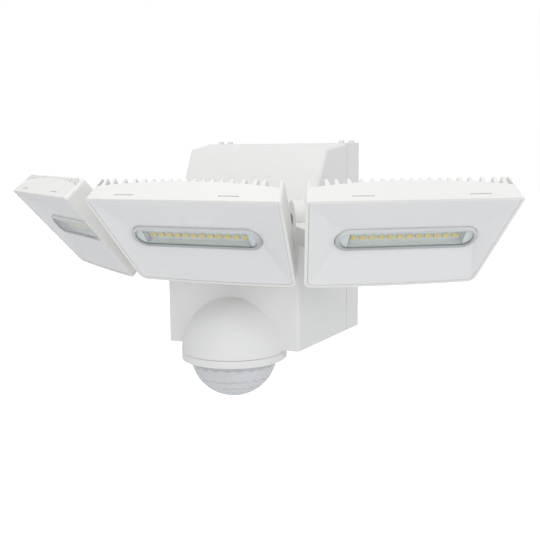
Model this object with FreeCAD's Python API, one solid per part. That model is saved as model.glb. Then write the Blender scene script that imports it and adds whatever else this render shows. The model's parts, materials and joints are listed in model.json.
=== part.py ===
import FreeCAD, Part
import math
import os

# Wall-mounted motion sensor security light with three aimable lamp heads, in millimetres.
# X is to the viewer's right, Y points into the wall and Z is up. The origin is the middle
# of the wall plate's back face, so the wall is the plane Y = 0.

V = FreeCAD.Vector
X_AXIS = V(1, 0, 0)
Y_AXIS = V(0, 1, 0)
Z_AXIS = V(0, 0, 1)
FAR = 400.0

# ---------------------------------------------------------------- housing
HOUSING_FRONT_WIDTH = 104.0
HOUSING_HEIGHT = 146.0
HOUSING_DEPTH = 107.0
SIDE_FLARE_DEG = 5.2
EDGE_R = 2.5
PLATE_DEPTH = 23.0
SEAM_GAP = 0.6
COVER_WALL = 2.5
PLATE_WALL = 2.2
PLATE_PANEL = 3.0
LIP_REACH = 4.0
LIP_FIT = 0.25

SHELF_HEIGHT = 77.0
SHELF_DEPTH = 9.0
SHELF_THICKNESS = 4.0
INCLINE_TOP_DEPTH = 48.0
INCLINE_TOP_DROP = 4.2

# ---------------------------------------------------------------- wall plate fittings
WALL_SLOT_SPACING = 88.9
WALL_SLOT_LENGTH = 12.0
WALL_SLOT_R = 2.5
WALL_SLOT_HEIGHT = -10.0
CABLE_HOLE_R = 9.0
GROMMET_BORE_R = 4.5
GROMMET_FLANGE_R = 12.0
GROMMET_FLANGE_T = 1.5
PLATE_GASKET_WIDTH = 4.0
PLATE_GASKET_DEPTH = 1.5
PLATE_GASKET_INSET = 4.0
TAB_WIDTH = 3.7
TAB_HEIGHT = 2.0
TAB_LENGTH = 3.5
TAB_BACK = 2.5
TAB_OFFSETS = (48.7, 56.9)
COVER_SCREW_OFFSET = 40.0
COVER_SCREW_R = 1.9
COVER_SCREW_HEAD_R = 3.6
COVER_SCREW_HEAD_T = 2.2
COVER_SCREW_LENGTH = 12.0
COVER_BOSS_HALF = 4.5
COVER_BOSS_HEIGHT = 14.0

# ---------------------------------------------------------------- arms and their swivels
ARM_PIVOT_OFFSET = 37.0
SIDE_PIVOT_DEPTH = 11.0
CENTRE_PIVOT_DEPTH = 20.9
ARM_LENGTH = 32.3
ARM_CRANK = 13.0
AXIS_ABOVE_SHELF = 17.5
TURRET_R = 10.0
NICHE_CLEARANCE = 0.8
NECK_WIDTH = 10.0
NECK_HALF_HEIGHT = 5.5
NECK_STRAIGHT = 14.5
SPIGOT_R = 6.0
SPIGOT_FLAT = 4.4
SWIVEL_FIT = 0.05
WIRE_BORE_R = 3.0
PAN_WASHER_R = 9.5
PAN_WASHER_T = 1.0
PAN_GAP = 0.2
PAN_NUT_R = 8.0
PAN_NUT_T = 5.0

KNUCKLE_R = 13.3
TONGUE_WIDTH = 12.0
KNUCKLE_GAP = 0.3
EAR_THICKNESS = 8.4
EAR_WEB_HALF_HEIGHT = 8.0
CLEVIS_BASE_GAP = 0.5
CLEVIS_CUT_BACK = 8.2
BOLT_R = 3.0
BOLT_HEAD_R = 4.6
BOLT_HEAD_T = 3.4
BOLT_RECESS = 4.2
BOLT_SOCKET_R = 2.4
BOLT_SOCKET_DEPTH = 2.2
NUT_ACROSS_FLATS = 10.0
NUT_T = 4.5
SCREW_CLEARANCE = 0.2

# ---------------------------------------------------------------- lamp heads
HEAD_TOP_WIDTH = 142.0
HEAD_BOTTOM_WIDTH = 120.0
HEAD_HEIGHT = 80.0
HEAD_DEPTH = 19.5
HEAD_BACK_TAPER = 4.0
HEAD_TOP_R = 2.5
HEAD_BOTTOM_R = 6.0
HEAD_BOTTOM_BOW = 1.2
HEAD_WALL = 2.2
BACK_DEPTH_SIDE = 12.0
BACK_DEPTH_MIDDLE = 17.5
BACK_SHELL = 2.5
AXIS_BEHIND_HEAD = 19.0
AXIS_BELOW_MIDDLE = 14.5
CLEVIS_OFFSET = 51.0
FACE_OFFSET = 3.5
FIN_OFFSETS = (3.1, 9.1, 15.5, 21.8, 28.4, 35.5, 43.8, 51.9, 58.0)
FIN_BASE = 4.0
FIN_TIP = 1.8
CLIP_OFFSET = 38.0
CLIP_SLOT_LENGTH = 14.2
CLIP_SLOT_WIDTH = 1.2
CLIP_SLOT_DEPTH = 3.5
CLIP_FIT = 0.2

REFLECTOR_FIT = 0.2
REFLECTOR_SET_BACK = 0.3
REFLECTOR_RIM = 1.3
REFLECTOR_SKIRT = 6.0
REFLECTOR_SHEET = 1.4
RECESS_DEPTH = 5.5
WINDOW_LENGTH = 97.0
WINDOW_HEIGHT = 19.2
LENS_FIT = 0.2
LENS_PROUD = 2.0
LENS_EDGE_R = 1.5
LENS_FLANGE = 2.0
LENS_FLANGE_T = 0.8
LENS_SEAL_T = 0.6
LED_GAP = 0.3
LED_DROP = 2.0
LED_COUNT = 12
LED_PITCH = 6.3
LED_WIDTH = 3.9
LED_HEIGHT = 3.9
LED_T = 0.8
LED_BOARD_LENGTH = 92.0
LED_BOARD_HEIGHT = 12.0
LED_BOARD_T = 1.6

# rest pose of each head: side, pan towards that side, tilt down, in degrees
HEAD_TILT = 41.0
RIGHT_PAN = 34.0
LEFT_PAN = 36.5

# ---------------------------------------------------------------- motion sensor
SENSOR_DEPTH = 3.0
HOOD_R = 37.8
HOOD_HEIGHT = 39.0
HOOD_WALL = 2.2
HOOD_BASE = 2.5
HOOD_SCREW_OFFSET = 20.0
HOOD_SCREW_HEIGHT = 16.0
HOOD_SCREW_R = 1.5
HOOD_BOSS_R = 3.4
HOOD_BOSS_DEPTH = 9.0
RING_GAP = 0.3
RING_HEIGHT = 5.5
RING_WALL = 2.4
RING_PLATE = 2.0
RING_LIP = 1.5
LUG_REACH = 0.8
LUG_WIDTH = 7.0
LUG_ANGLE_DEG = 20.0
LENS_R = 31.6
LENS_T = 0.9
LENS_RIM_T = 1.2
LENS_RIM_PLAY = 0.3
LENS_CENTRE_BELOW_RING_TOP = 2.0
HUB_R = 8.0
HUB_BORE_R = 5.0
HUB_RISE = 8.0
HUB_CLEARANCE = 1.5
HUB_NUT_R = 12.0
HUB_NUT_T = 3.0
SENSOR_BOARD_R = 24.0
SENSOR_BOARD_T = 1.6
PYRO_R = 4.6
PYRO_HEIGHT = 4.2
PHOTOCELL_R = 2.5
PHOTOCELL_HEIGHT = 3.0
PHOTOCELL_OFFSET = 15.0

# ---------------------------------------------------------------- setting dials
DIAL_SPACING = 22.0
DIAL_DEPTH = 62.0
DIAL_R = 6.0
DIAL_T = 2.5
DIAL_GAP = 0.3
DIAL_SHAFT_R = 3.0
DIAL_SLOT_WIDTH = 1.4
DIAL_SLOT_DEPTH = 1.2
POT_SIZE = 10.0
POT_HEIGHT = 5.0
POT_ABOVE_FLOOR = 3.0
CONTROL_BOARD_T = 1.6
CONTROL_BOARD_MARGIN = 7.0

# ---------------------------------------------------------------- electrics on the wall plate
BOARD_WIDTH = 84.0
BOARD_HEIGHT = 62.0
BOARD_T = 1.6
BOARD_STANDOFF = 24.0
BOARD_MIDDLE_HEIGHT = 26.0
STANDOFF_R = 3.5
STANDOFF_INSET = 5.0
BOARD_SCREW_R = 1.5
BOARD_SCREW_HEAD_R = 2.8
BOARD_SCREW_HEAD_T = 1.8
BOARD_SCREW_LENGTH = 8.0
TRANSFORMER_SIZE = (28.0, 20.0, 24.0)
TRANSFORMER_OFFSET = (-16.0, 6.0)
CAPACITOR_R = 6.0
CAPACITOR_LENGTH = 18.0
CAPACITOR_PLACES = ((14.0, 14.0), (28.0, 14.0))
RELAY_SIZE = (19.0, 15.0, 15.0)
RELAY_OFFSET = (20.0, -12.0)
TERMINAL_POLES = 3
TERMINAL_PITCH = 10.0
TERMINAL_DEPTH = 16.0
TERMINAL_HEIGHT = 18.0
TERMINAL_DROP = 30.0
TERMINAL_OFFSET = 30.0
TERMINAL_SCREW_R = 2.2
TERMINAL_SCREW_DEPTH = 4.0

# ---------------------------------------------------------------- places worked out from the sizes
FRONT_Y = -HOUSING_DEPTH
SEAM_Y = -PLATE_DEPTH
BOTTOM_Z = -HOUSING_HEIGHT / 2
TOP_Z = HOUSING_HEIGHT / 2
SHELF_Z = BOTTOM_Z + SHELF_HEIGHT
AXIS_Z = SHELF_Z + AXIS_ABOVE_SHELF
FLARE = math.tan(math.radians(SIDE_FLARE_DEG))
NICHE_R = TURRET_R + NICHE_CLEARANCE
CLEVIS_HALF = TONGUE_WIDTH / 2 + KNUCKLE_GAP + EAR_THICKNESS

HEAD_FRONT = -(AXIS_BEHIND_HEAD + HEAD_DEPTH)
HEAD_BACK = -AXIS_BEHIND_HEAD
HEAD_TOP = AXIS_BELOW_MIDDLE + HEAD_HEIGHT / 2
HEAD_BOTTOM = AXIS_BELOW_MIDDLE - HEAD_HEIGHT / 2
HEAD_MIDDLE = AXIS_BELOW_MIDDLE
LED_MIDDLE = HEAD_MIDDLE - LED_DROP
REFLECTOR_FRONT = HEAD_FRONT + REFLECTOR_SET_BACK
WINDOW_FRONT = HEAD_FRONT + RECESS_DEPTH
WINDOW_BACK = WINDOW_FRONT + REFLECTOR_SHEET
LENS_FLANGE_FRONT = WINDOW_BACK + LENS_SEAL_T
LENS_FLANGE_BACK = LENS_FLANGE_FRONT + LENS_FLANGE_T
LED_FRONT = LENS_FLANGE_BACK + LED_GAP
LED_BOARD_FRONT = LED_FRONT + LED_T
LED_BOARD_BACK = LED_BOARD_FRONT + LED_BOARD_T

SENSOR_Y = FRONT_Y + SENSOR_DEPTH
HOOD_BASE_Z = BOTTOM_Z - HOOD_BASE
RING_TOP_Z = HOOD_BASE_Z - RING_GAP
RING_BOTTOM_Z = RING_TOP_Z - RING_HEIGHT
LENS_CENTRE_Z = RING_TOP_Z - LENS_CENTRE_BELOW_RING_TOP
FLOOR_TOP_Z = BOTTOM_Z + COVER_WALL
DIAL_Y = FRONT_Y + DIAL_DEPTH
POT_Z = FLOOR_TOP_Z + POT_ABOVE_FLOOR
BOARD_Y = -PLATE_PANEL - BOARD_STANDOFF

# each arm: its side (-1, 0 or 1), pivot X, pivot Y, pan in degrees
ARMS = {
    "left": (-1, -ARM_PIVOT_OFFSET, FRONT_Y + SIDE_PIVOT_DEPTH, -LEFT_PAN),
    "centre": (0, 0.0, FRONT_Y + CENTRE_PIVOT_DEPTH, 0.0),
    "right": (1, ARM_PIVOT_OFFSET, FRONT_Y + SIDE_PIVOT_DEPTH, RIGHT_PAN),
}


# ---------------------------------------------------------------- small shape helpers
def box(x0, x1, y0, y1, z0, z1):
    return Part.makeBox(x1 - x0, y1 - y0, z1 - z0, V(x0, y0, z0))


def block(size, middle):
    sx, sy, sz = size
    return Part.makeBox(sx, sy, sz, V(middle.x - sx / 2, middle.y - sy / 2, middle.z - sz / 2))


def rod(radius, start, axis, length):
    return Part.makeCylinder(radius, length, start, axis)


def ring(outer, inner, start, axis, length):
    return rod(outer, start, axis, length).cut(rod(inner, start, axis, length))


def prism(points, direction):
    return Part.Face(Part.makePolygon(points + [points[0]])).extrude(direction)


def union(shapes):
    joined = shapes[0]
    for shape in shapes[1:]:
        joined = joined.fuse(shape)
    return joined.removeSplitter()


def save(name, shape):
    shape.exportStep("parts/" + name + ".step")
    print(name, len(shape.Solids), "solid(s)", round(shape.Volume), "mm3", shape.isValid())


# ---------------------------------------------------------------- housing
def housing_block(inset, front, back):
    """The flared body between two depths, with every wall except the cut ends set in."""
    past = HOUSING_DEPTH
    low = BOTTOM_Z + inset
    slope = INCLINE_TOP_DROP / (HOUSING_DEPTH - INCLINE_TOP_DEPTH - PLATE_DEPTH)
    side = [
        V(0, FRONT_Y, BOTTOM_Z),
        V(0, FRONT_Y, SHELF_Z),
        V(0, FRONT_Y + SHELF_DEPTH, SHELF_Z),
        V(0, FRONT_Y + INCLINE_TOP_DEPTH, TOP_Z - INCLINE_TOP_DROP),
        V(0, SEAM_Y, TOP_Z),
        V(0, past, TOP_Z),
        V(0, past, BOTTOM_Z),
    ]
    wire = Part.makePolygon(side + [side[0]])
    face = Part.Face(wire)
    if inset > 0:
        face = Part.Face(face.makeOffset2D(-inset, 2).Wires[0])
    face.translate(V(-FAR / 2, 0, 0))
    profile = face.extrude(V(FAR, 0, 0))
    set_in = inset / math.cos(math.radians(SIDE_FLARE_DEG))
    near = HOUSING_FRONT_WIDTH / 2 - set_in
    far = near + FLARE * (past - FRONT_Y)
    plan = prism(
        [
            V(-near, FRONT_Y, -FAR / 2), V(near, FRONT_Y, -FAR / 2), V(far, past, -FAR / 2),
            V(-far, past, -FAR / 2),
        ],
        V(0, 0, FAR),
    )
    return profile.common(plan).common(box(-FAR, FAR, front, back, -FAR, FAR))


def side_edges(shape):
    """Long outer edges on the two sides, away from the seam and the floor."""
    picked = []
    for edge in shape.Edges:
        middle = edge.CenterOfMass
        at_side = abs(middle.x) > HOUSING_FRONT_WIDTH / 2 - 1
        off_seam = middle.y < SEAM_Y - 1
        off_floor = middle.z > BOTTOM_Z + 1
        if at_side and off_seam and off_floor:
            picked.append(edge)
    return picked


def pivots():
    return [(x, y) for _, x, y, _ in ARMS.values()]


def dial_places():
    return [-DIAL_SPACING, 0.0, DIAL_SPACING]


def cover_screw_places():
    return [-COVER_SCREW_OFFSET, COVER_SCREW_OFFSET]


def hood_screw_places():
    return [-HOOD_SCREW_OFFSET, HOOD_SCREW_OFFSET]


COVER_SCREW_Y = SEAM_Y - SEAM_GAP - COVER_BOSS_HALF - 1.0


def make_front_cover():
    outer = housing_block(0, FRONT_Y - 1, SEAM_Y - SEAM_GAP)
    outer = outer.makeFillet(EDGE_R, side_edges(outer))
    cavity = housing_block(COVER_WALL, FRONT_Y, SEAM_Y + 1)
    for x, y in pivots():
        liner_r = NICHE_R + COVER_WALL
        cavity = cavity.cut(rod(liner_r, V(x, y, SHELF_Z - SHELF_THICKNESS), Z_AXIS, HOUSING_HEIGHT))
    cover = outer.cut(cavity)
    for x, y in pivots():
        cover = cover.cut(rod(NICHE_R, V(x, y, SHELF_Z), Z_AXIS, HOUSING_HEIGHT))
    for name in ARMS:
        hole = peg(name, -AXIS_ABOVE_SHELF - SHELF_THICKNESS - 1, SHELF_THICKNESS + 2, SWIVEL_FIT)
        cover = cover.cut(place_peg(hole, name))
    cover = cover.cut(rod(HUB_R + SWIVEL_FIT, V(0, SENSOR_Y, BOTTOM_Z - 1), Z_AXIS, COVER_WALL + 2))
    half_window = HUB_NUT_R + HUB_CLEARANCE
    window_top = FLOOR_TOP_Z + HUB_RISE + HUB_CLEARANCE
    cover = cover.cut(box(
        -half_window, half_window, FRONT_Y - 1, FRONT_Y + COVER_WALL + 1, FLOOR_TOP_Z, window_top,
    ))
    for x in hood_screw_places():
        cover = cover.cut(
            rod(
                HOOD_SCREW_R + SCREW_CLEARANCE, V(x, FRONT_Y - 1, BOTTOM_Z + HOOD_SCREW_HEIGHT), Y_AXIS,
                COVER_WALL + 2,
            )
        )
    for x in dial_places():
        cover = cover.cut(
            rod(DIAL_SHAFT_R + SWIVEL_FIT, V(x, DIAL_Y, BOTTOM_Z - 1), Z_AXIS, COVER_WALL + 2)
        )
    for x in cover_screw_places():
        cover = cover.cut(
            rod(
                COVER_SCREW_R + SCREW_CLEARANCE, V(x, COVER_SCREW_Y, BOTTOM_Z - 1), Z_AXIS, COVER_WALL + 2,
            )
        )
    return cover


def wall_slot(x):
    half = WALL_SLOT_LENGTH / 2 - WALL_SLOT_R
    slot = box(
        x - half, x + half, -PLATE_PANEL - 1, 1, WALL_SLOT_HEIGHT - WALL_SLOT_R,
        WALL_SLOT_HEIGHT + WALL_SLOT_R,
    )
    for end in (x - half, x + half):
        slot = slot.fuse(
            rod(WALL_SLOT_R, V(end, -PLATE_PANEL - 1, WALL_SLOT_HEIGHT), Y_AXIS, PLATE_PANEL + 2)
        )
    return slot


def board_corners(inset):
    half_w = BOARD_WIDTH / 2 - inset
    half_h = BOARD_HEIGHT / 2 - inset
    return [V(sx * half_w, 0, BOARD_MIDDLE_HEIGHT + sz * half_h) for sx in (-1, 1) for sz in (-1, 1)]


def plate_gasket_ring(depth):
    outer = housing_block(PLATE_GASKET_INSET, -depth, 0)
    inner = housing_block(PLATE_GASKET_INSET + PLATE_GASKET_WIDTH, -depth, 0)
    return outer.cut(inner)


def make_wall_plate():
    inner_inset = COVER_WALL + LIP_FIT + PLATE_WALL
    plate = housing_block(0, SEAM_Y, 0)
    plate = plate.cut(housing_block(inner_inset, SEAM_Y - 1, -PLATE_PANEL))
    lip = housing_block(COVER_WALL + LIP_FIT, SEAM_Y - LIP_REACH, SEAM_Y)
    lip = lip.cut(housing_block(inner_inset, SEAM_Y - LIP_REACH, SEAM_Y))
    pieces = [plate, lip]
    lip_floor = BOTTOM_Z + COVER_WALL + LIP_FIT
    for x in cover_screw_places():
        pieces.append(box(
            x - COVER_BOSS_HALF, x + COVER_BOSS_HALF,
            COVER_SCREW_Y - COVER_BOSS_HALF, SEAM_Y + 1,
            lip_floor, lip_floor + COVER_BOSS_HEIGHT,
        ))
    for corner in board_corners(STANDOFF_INSET):
        pieces.append(rod(STANDOFF_R, V(corner.x, BOARD_Y, corner.z), Y_AXIS, BOARD_STANDOFF + 1))
    for offset in TAB_OFFSETS:
        for x in (-offset, offset):
            pieces.append(box(
                x - TAB_WIDTH / 2, x + TAB_WIDTH / 2,
                -TAB_BACK - TAB_LENGTH, -TAB_BACK,
                TOP_Z - 1, TOP_Z + TAB_HEIGHT,
            ))
    plate = union(pieces)
    plate = plate.cut(plate_gasket_ring(PLATE_GASKET_DEPTH))
    for x in (-WALL_SLOT_SPACING / 2, WALL_SLOT_SPACING / 2):
        plate = plate.cut(wall_slot(x))
    plate = plate.cut(rod(CABLE_HOLE_R, V(0, -PLATE_PANEL - 1, -TERMINAL_DROP), Y_AXIS, PLATE_PANEL + 2))
    for x in cover_screw_places():
        plate = plate.cut(
            rod(COVER_SCREW_R, V(x, COVER_SCREW_Y, BOTTOM_Z), Z_AXIS, COVER_SCREW_LENGTH + 1)
        )
    for corner in board_corners(STANDOFF_INSET):
        plate = plate.cut(
            rod(BOARD_SCREW_R, V(corner.x, BOARD_Y - 1, corner.z), Y_AXIS, BOARD_SCREW_LENGTH)
        )
    return plate


def make_cover_seal():
    outer = housing_block(COVER_WALL / 2, SEAM_Y - SEAM_GAP, SEAM_Y)
    inner = housing_block(COVER_WALL + LIP_FIT, SEAM_Y - SEAM_GAP, SEAM_Y)
    return outer.cut(inner)


def make_plate_gasket():
    return plate_gasket_ring(PLATE_GASKET_DEPTH)


def make_cable_grommet():
    middle = V(0, 0, -TERMINAL_DROP)
    body = rod(
        CABLE_HOLE_R, V(0, -PLATE_PANEL - GROMMET_FLANGE_T, middle.z), Y_AXIS,
        PLATE_PANEL + GROMMET_FLANGE_T,
    )
    flange = rod(
        GROMMET_FLANGE_R, V(0, -PLATE_PANEL - GROMMET_FLANGE_T, middle.z), Y_AXIS, GROMMET_FLANGE_T,
    )
    bore = rod(GROMMET_BORE_R, V(0, -PLATE_PANEL - GROMMET_FLANGE_T - 1, middle.z), Y_AXIS, FAR)
    return union([body, flange]).cut(bore)


def make_cover_screws():
    screws = []
    for x in cover_screw_places():
        head = rod(
            COVER_SCREW_HEAD_R, V(x, COVER_SCREW_Y, BOTTOM_Z - COVER_SCREW_HEAD_T), Z_AXIS,
            COVER_SCREW_HEAD_T,
        )
        shank = rod(
            COVER_SCREW_R, V(x, COVER_SCREW_Y, BOTTOM_Z - COVER_SCREW_HEAD_T / 2), Z_AXIS,
            COVER_SCREW_LENGTH,
        )
        slot = block(
            (COVER_SCREW_HEAD_R * 1.3, 1.0, 1.6), V(x, COVER_SCREW_Y, BOTTOM_Z - COVER_SCREW_HEAD_T),
        )
        cross = block(
            (1.0, COVER_SCREW_HEAD_R * 1.3, 1.6), V(x, COVER_SCREW_Y, BOTTOM_Z - COVER_SCREW_HEAD_T),
        )
        screws.append(union([head, shank]).cut(slot).cut(cross))
    return Part.makeCompound(screws)


# ---------------------------------------------------------------- electrics
def make_driver_board():
    half_w = BOARD_WIDTH / 2
    half_h = BOARD_HEIGHT / 2
    board = box(
        -half_w, half_w, BOARD_Y - BOARD_T, BOARD_Y, BOARD_MIDDLE_HEIGHT - half_h,
        BOARD_MIDDLE_HEIGHT + half_h,
    )
    for corner in board_corners(STANDOFF_INSET):
        board = board.cut(
            rod(
                BOARD_SCREW_R + SCREW_CLEARANCE, V(corner.x, BOARD_Y - BOARD_T - 1, corner.z), Y_AXIS,
                BOARD_T + 2,
            )
        )
    return board


def make_board_screws():
    screws = []
    for corner in board_corners(STANDOFF_INSET):
        front = BOARD_Y - BOARD_T
        head = rod(
            BOARD_SCREW_HEAD_R, V(corner.x, front - BOARD_SCREW_HEAD_T, corner.z), Y_AXIS,
            BOARD_SCREW_HEAD_T,
        )
        shank = rod(BOARD_SCREW_R, V(corner.x, front - 1, corner.z), Y_AXIS, BOARD_SCREW_LENGTH)
        screws.append(union([head, shank]))
    return Part.makeCompound(screws)


def on_board(size, offset):
    """A block standing on the driver board's front face."""
    sx, sy, sz = size
    middle = V(offset[0], BOARD_Y - BOARD_T - sy / 2, BOARD_MIDDLE_HEIGHT + offset[1])
    return block((sx, sy, sz), middle)


def make_transformer():
    sx, sy, sz = TRANSFORMER_SIZE
    core = on_board(TRANSFORMER_SIZE, TRANSFORMER_OFFSET)
    winding = on_board((sx * 0.7, sy * 0.8, sz * 1.25), TRANSFORMER_OFFSET)
    return union([core, winding])


def make_capacitors():
    cans = []
    for x, z in CAPACITOR_PLACES:
        start = V(x, BOARD_Y - BOARD_T - CAPACITOR_LENGTH, BOARD_MIDDLE_HEIGHT + z)
        cans.append(rod(CAPACITOR_R, start, Y_AXIS, CAPACITOR_LENGTH))
    return Part.makeCompound(cans)


def make_relay():
    return on_board(RELAY_SIZE, RELAY_OFFSET)


def terminal_places():
    first = TERMINAL_OFFSET - TERMINAL_PITCH * (TERMINAL_POLES - 1) / 2
    return [first + TERMINAL_PITCH * i for i in range(TERMINAL_POLES)]


def make_terminal_block():
    front = -PLATE_PANEL - TERMINAL_DEPTH
    half = TERMINAL_PITCH * TERMINAL_POLES / 2
    low = -TERMINAL_DROP - TERMINAL_HEIGHT / 2
    body = box(
        TERMINAL_OFFSET - half, TERMINAL_OFFSET + half, front, -PLATE_PANEL, low, low + TERMINAL_HEIGHT,
    )
    for x in terminal_places():
        body = body.cut(
            rod(
                TERMINAL_SCREW_R + SCREW_CLEARANCE, V(x, front - 1, -TERMINAL_DROP), Y_AXIS,
                TERMINAL_SCREW_DEPTH + 2,
            )
        )
        body = body.cut(
            rod(TERMINAL_SCREW_R, V(x, front + TERMINAL_DEPTH / 2, low - 1), Z_AXIS, TERMINAL_HEIGHT / 3)
        )
    return body


def make_terminal_screws():
    front = -PLATE_PANEL - TERMINAL_DEPTH
    screws = []
    for x in terminal_places():
        screw = rod(TERMINAL_SCREW_R, V(x, front, -TERMINAL_DROP), Y_AXIS, TERMINAL_SCREW_DEPTH + 1)
        screws.append(screw.cut(block((TERMINAL_SCREW_R * 2, 1.6, 0.8), V(x, front, -TERMINAL_DROP))))
    return Part.makeCompound(screws)


def make_control_board():
    half_x = DIAL_SPACING + POT_SIZE / 2 + CONTROL_BOARD_MARGIN
    half_y = POT_SIZE / 2 + CONTROL_BOARD_MARGIN
    z = POT_Z + POT_HEIGHT
    board = box(-half_x, half_x, DIAL_Y - half_y, DIAL_Y + half_y, z, z + CONTROL_BOARD_T)
    legs = []
    for x in (-half_x + STANDOFF_R, half_x - STANDOFF_R):
        legs.append(
            rod(STANDOFF_R - 1, V(x, DIAL_Y + half_y - STANDOFF_R, FLOOR_TOP_Z), Z_AXIS, z - FLOOR_TOP_Z)
        )
        legs.append(
            rod(STANDOFF_R - 1, V(x, DIAL_Y - half_y + STANDOFF_R, FLOOR_TOP_Z), Z_AXIS, z - FLOOR_TOP_Z)
        )
    return union([board] + legs)


def make_potentiometers():
    pots = []
    for x in dial_places():
        pot = block((POT_SIZE, POT_SIZE, POT_HEIGHT), V(x, DIAL_Y, POT_Z + POT_HEIGHT / 2))
        pots.append(pot.cut(rod(DIAL_SHAFT_R + SWIVEL_FIT, V(x, DIAL_Y, POT_Z - 1), Z_AXIS, POT_HEIGHT)))
    return Part.makeCompound(pots)


def make_dial(x):
    top = BOTTOM_Z - DIAL_GAP
    cap = rod(DIAL_R, V(x, DIAL_Y, top - DIAL_T), Z_AXIS, DIAL_T)
    shaft_top = POT_Z + POT_HEIGHT - 1.5
    shaft = rod(DIAL_SHAFT_R, V(x, DIAL_Y, top - 1), Z_AXIS, shaft_top - top + 1)
    slot_y = DIAL_Y - DIAL_R / 2
    slot = block((DIAL_SLOT_WIDTH, DIAL_R, DIAL_SLOT_DEPTH * 2), V(x, slot_y, top - DIAL_T))
    return union([cap, shaft]).cut(slot)


# ---------------------------------------------------------------- arms
def place_arm(shape, name):
    """Moves a shape from the arm's own frame, whose origin is the pan axis at tilt height."""
    _, x, y, pan = ARMS[name]
    placed = shape.copy()
    placed.rotate(V(0, 0, 0), Z_AXIS, pan)
    placed.translate(V(x, y, AXIS_Z))
    return placed


def turns(name):
    """The two side arms turn on their pegs. The middle arm stands still."""
    return ARMS[name][0] != 0


def peg(name, low, length, fit):
    """The round peg under an arm, with a flat on the middle one that keeps it from turning."""
    shape = rod(SPIGOT_R + fit, V(0, 0, low), Z_AXIS, length)
    if turns(name):
        return shape
    flat = SPIGOT_FLAT + fit
    return shape.cut(box(-SPIGOT_R * 2, SPIGOT_R * 2, flat, flat + SPIGOT_R * 2, low, low + length))


def place_peg(shape, name):
    _, x, y, _ = ARMS[name]
    placed = shape.copy()
    placed.translate(V(x, y, AXIS_Z))
    return placed


def make_arm(name):
    side = ARMS[name][0]
    crank = side * ARM_CRANK
    turret_base = -AXIS_ABOVE_SHELF
    if turns(name):
        turret_base = PAN_WASHER_T + PAN_GAP - AXIS_ABOVE_SHELF
    turret = rod(TURRET_R, V(0, 0, turret_base), Z_AXIS, NECK_HALF_HEIGHT - turret_base)
    half = NECK_WIDTH / 2
    low = V(0, 0, -NECK_HALF_HEIGHT)
    bend = -(ARM_LENGTH - NECK_STRAIGHT)
    neck = prism(
        [
            V(-half, 0, 0) + low, V(half, 0, 0) + low, V(crank + half, bend, 0) + low,
            V(crank + half, -ARM_LENGTH, 0) + low, V(crank - half, -ARM_LENGTH, 0) + low,
            V(crank - half, bend, 0) + low,
        ],
        V(0, 0, 2 * NECK_HALF_HEIGHT),
    )
    tongue_start = V(crank - TONGUE_WIDTH / 2, -ARM_LENGTH, 0)
    tongue = rod(KNUCKLE_R, tongue_start, X_AXIS, TONGUE_WIDTH)
    spigot_low = pan_nut_top(name) - PAN_NUT_T
    spigot = peg(name, spigot_low, turret_base + 1 - spigot_low, 0.0)
    arm = union([turret, neck, tongue, spigot])
    arm = arm.cut(rod(BOLT_R + SWIVEL_FIT, tongue_start - X_AXIS, X_AXIS, TONGUE_WIDTH + 2))
    arm = arm.cut(rod(WIRE_BORE_R, V(0, 0, spigot_low - 1), Z_AXIS, -spigot_low + 1))
    return place_arm(arm, name)


def pan_nut_top(name):
    under_shelf = -AXIS_ABOVE_SHELF - SHELF_THICKNESS
    return under_shelf - PAN_GAP if turns(name) else under_shelf


def make_pan_nut(name):
    top = pan_nut_top(name)
    nut = ring(PAN_NUT_R, SPIGOT_R + SWIVEL_FIT, V(0, 0, top - PAN_NUT_T), Z_AXIS, PAN_NUT_T)
    return place_arm(nut, name)


def make_pan_washers():
    washers = []
    for name in ARMS:
        if turns(name):
            _, x, y, _ = ARMS[name]
            hole_r = SPIGOT_R + SCREW_CLEARANCE
            washers.append(ring(PAN_WASHER_R, hole_r, V(x, y, SHELF_Z), Z_AXIS, PAN_WASHER_T))
    return Part.makeCompound(washers)


# ---------------------------------------------------------------- lamp heads
def place_head(shape, name):
    """Moves a shape from the head's own frame, centred on the head, to the rest pose."""
    side, x, y, pan = ARMS[name]
    placed = shape.copy()
    placed.translate(V(side * CLEVIS_OFFSET, 0, 0))
    placed.rotate(V(0, 0, 0), X_AXIS, HEAD_TILT)
    placed.translate(V(side * ARM_CRANK, -ARM_LENGTH, 0))
    placed.rotate(V(0, 0, 0), Z_AXIS, pan)
    placed.translate(V(x, y, AXIS_Z))
    return placed


def trapezoid_wire(y, inset, taper):
    """Rounded head outline at depth y, narrowed by the taper and set in all round."""
    slant = (HEAD_TOP_WIDTH - HEAD_BOTTOM_WIDTH) / 2 / HEAD_HEIGHT
    grow = inset * math.sqrt(1 + slant * slant)
    top = HEAD_TOP - inset
    bottom = HEAD_BOTTOM + inset
    half_top = HEAD_TOP_WIDTH / 2 - taper - grow - slant * inset
    half_bottom = HEAD_BOTTOM_WIDTH / 2 - taper - grow + slant * inset
    radii = [max(HEAD_BOTTOM_R - inset, 1.0)] * 2 + [max(HEAD_TOP_R - inset, 1.0)] * 2
    corners = [
        V(-half_bottom, y, bottom), V(half_bottom, y, bottom), V(half_top, y, top), V(-half_top, y, top),
    ]
    return rounded_wire(corners, radii, HEAD_BOTTOM_BOW)


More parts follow.
